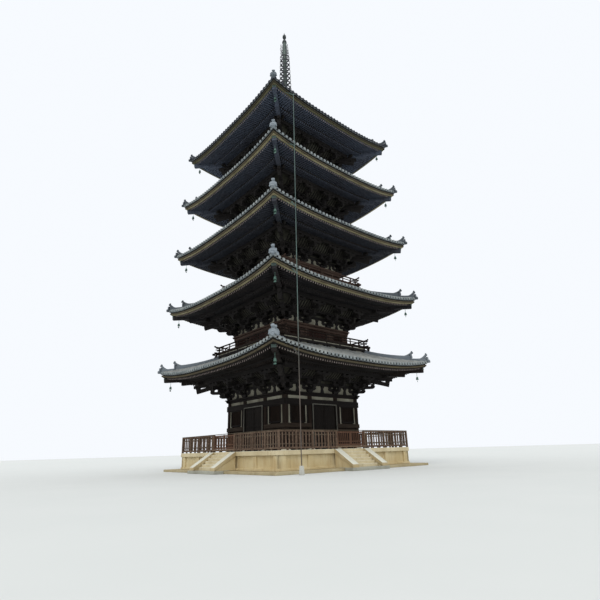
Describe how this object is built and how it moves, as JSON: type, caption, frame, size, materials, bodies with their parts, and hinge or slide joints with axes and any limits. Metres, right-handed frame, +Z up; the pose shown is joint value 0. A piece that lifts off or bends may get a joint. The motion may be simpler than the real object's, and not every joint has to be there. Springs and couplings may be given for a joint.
{
  "type": "five-storey pagoda",
  "caption": "Five-storey timber pagoda with tiled roofs and bronze finial on a stone platform with four stairs and a low fence; its south doors and two fence gates open.",
  "frame": {"origin": "ground level on the tower's axis, in the middle of the stone ledge's underside", "axes": "+Z up the tower, -Y towards the south side with the opening doors, -X towards the west side"},
  "size_m": [13.4122, 13.6461, 37.32],
  "materials": {
    "pale_stone": "rough-sawn granite",
    "tan_stone": "warm weathered stone",
    "fence_timber": "weathered painted timber",
    "gate_timber": "reddish-brown painted timber",
    "roof_tile": "matt grey fired tile",
    "bronze": "dark weathered bronze",
    "conductor_metal": "grey-green oxidised cable",
    "ground_wall": "dark timber with plaster strips",
    "red_timber": "reddish-brown weathered timber",
    "dark_timber": "near-black weathered timber"
  },
  "bodies": {
    "tower": {"brackets_1": "dark_timber", "brackets_2": "dark_timber", "brackets_3": "dark_timber", "brackets_4": "dark_timber", "brackets_5": "dark_timber", "corner_wall_northeast": "ground_wall", "corner_wall_northwest": "ground_wall", "corner_wall_southeast": "ground_wall", "corner_wall_southwest": "ground_wall", "east_doors": "dark_timber", "east_fence": "fence_timber", "east_stair": "pale_stone", "eaves_1": "dark_timber", "eaves_2": "dark_timber", "eaves_3": "dark_timber", "eaves_4": "dark_timber", "eaves_5": "dark_timber", "finial_flame": "bronze", "finial_stem": "bronze", "ground_floor": "dark_timber", "heart_pillar": "dark_timber", "inner_columns": "dark_timber", "lightning_conductor": "conductor_metal", "north_doors": "dark_timber", "north_fence": "fence_timber", "north_stair": "pale_stone", "platform_coping": "pale_stone", "platform_ledge": "pale_stone", "platform_wall": "tan_stone", "roof_1": "roof_tile", "roof_2": "roof_tile", "roof_3": "roof_tile", "roof_4": "roof_tile", "roof_5": "roof_tile", "south_fence": "fence_timber", "south_stair": "pale_stone", "storey_1_head_beams": "dark_timber", "storey_2_lining": "red_timber", "storey_2_walls": "red_timber", "storey_3_lining": "red_timber", "storey_3_walls": "red_timber", "storey_4_lining": "red_timber", "storey_4_walls": "red_timber", "storey_5_lining": "red_timber", "storey_5_walls": "red_timber", "veranda_2": "dark_timber", "veranda_3": "dark_timber", "veranda_4": "dark_timber", "veranda_5": "dark_timber", "west_doors": "dark_timber", "west_fence_left": "fence_timber", "west_fence_right": "fence_timber", "west_gate_sill": "fence_timber", "west_stair": "pale_stone"},
    "south_door_left": {"south_door_left": "dark_timber"},
    "south_door_right": {"south_door_right": "dark_timber"},
    "south_gate_left": {"south_gate_left": "gate_timber"},
    "south_gate_right": {"south_gate_right": "gate_timber"},
    "west_gate_left": {"west_gate_left": "gate_timber"},
    "west_gate_right": {"west_gate_right": "gate_timber"}
  },
  "joints": [
    {"name": "south_door_left_hinge", "type": "hinge", "parent": "tower", "child": "south_door_left", "pos_m": [-0.874, -3.095, 2.5], "axis": [0, 0, -1], "range_deg": [0, 90]},
    {"name": "south_door_right_hinge", "type": "hinge", "parent": "tower", "child": "south_door_right", "pos_m": [0.874, -3.095, 2.5], "axis": [0, 0, 1], "range_deg": [0, 90]},
    {"name": "south_gate_left_hinge", "type": "hinge", "parent": "tower", "child": "south_gate_left", "pos_m": [-1.052, -5.205, 1.7], "axis": [0, 0, 1], "range_deg": [0, 90]},
    {"name": "south_gate_right_hinge", "type": "hinge", "parent": "tower", "child": "south_gate_right", "pos_m": [1.052, -5.205, 1.7], "axis": [0, 0, -1], "range_deg": [0, 90]},
    {"name": "west_gate_left_hinge", "type": "hinge", "parent": "tower", "child": "west_gate_left", "pos_m": [-5.205, 1.052, 1.7], "axis": [0, 0, 1], "range_deg": [0, 90]},
    {"name": "west_gate_right_hinge", "type": "hinge", "parent": "tower", "child": "west_gate_right", "pos_m": [-5.205, -1.052, 1.7], "axis": [0, 0, -1], "range_deg": [0, 90]}
  ]
}
